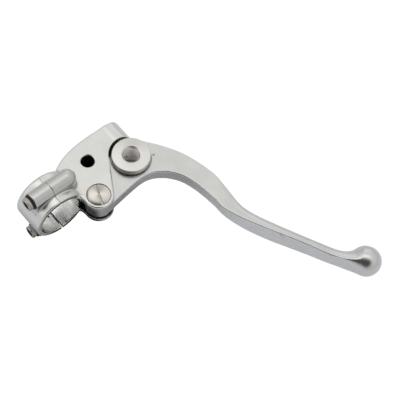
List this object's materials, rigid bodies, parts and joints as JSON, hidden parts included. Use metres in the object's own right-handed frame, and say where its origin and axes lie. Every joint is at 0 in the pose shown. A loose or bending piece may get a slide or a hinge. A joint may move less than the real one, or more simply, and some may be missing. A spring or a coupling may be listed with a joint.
{
  "type": "clutch lever",
  "caption": "Motorcycle clutch lever assembly: split clamp and perch for a 25.4 mm handlebar, a pivoting ball-end lever and a swivelling cable barrel.",
  "frame": {"origin": "on the handlebar axis, at the middle of the clamp's width", "axes": "+X along the handlebar towards the ball end of the lever, +Y from the handlebar towards the lever and its cable, +Z out of the face that carries the pivot screw's slotted head"},
  "size_m": [0.1588, 0.1356, 0.0429],
  "materials": {
    "cast_aluminium": "fine blasted satin",
    "bolt_steel": "plain zinc, satin",
    "black_washer": "black oxide",
    "screw_nickel": "turned, warm nickel",
    "turned_steel": "fine turned",
    "bearing_bronze": "satin"
  },
  "bodies": {
    "bracket": {"bracket": "cast_aluminium", "clamp_cap": "cast_aluminium", "upper_clamp_bolt": "bolt_steel", "lower_clamp_bolt": "bolt_steel", "upper_bolt_washer": "black_washer", "lower_bolt_washer": "black_washer", "pivot_screw": "screw_nickel", "pivot_nut": "bolt_steel", "thrust_washer": "bolt_steel"},
    "lever": {"lever_blade": "cast_aluminium", "pivot_bush": "bearing_bronze"},
    "barrel": {"cable_barrel": "turned_steel", "barrel_clip": "bolt_steel"}
  },
  "joints": [
    {"name": "lever_pivot", "type": "hinge", "parent": "bracket", "child": "lever", "pos_m": [0.0156, 0.0211, 0], "axis": [0, 0, -1], "range_deg": [0, 30]},
    {"name": "barrel_swivel", "type": "hinge", "parent": "lever", "child": "barrel", "pos_m": [0.007, 0.0504, 0], "axis": [0, 0, -1], "range_deg": [-30, 0]}
  ],
  "couplings": [
    {"joint": "barrel_swivel", "follows": "lever_pivot", "ratio": -1}
  ]
}
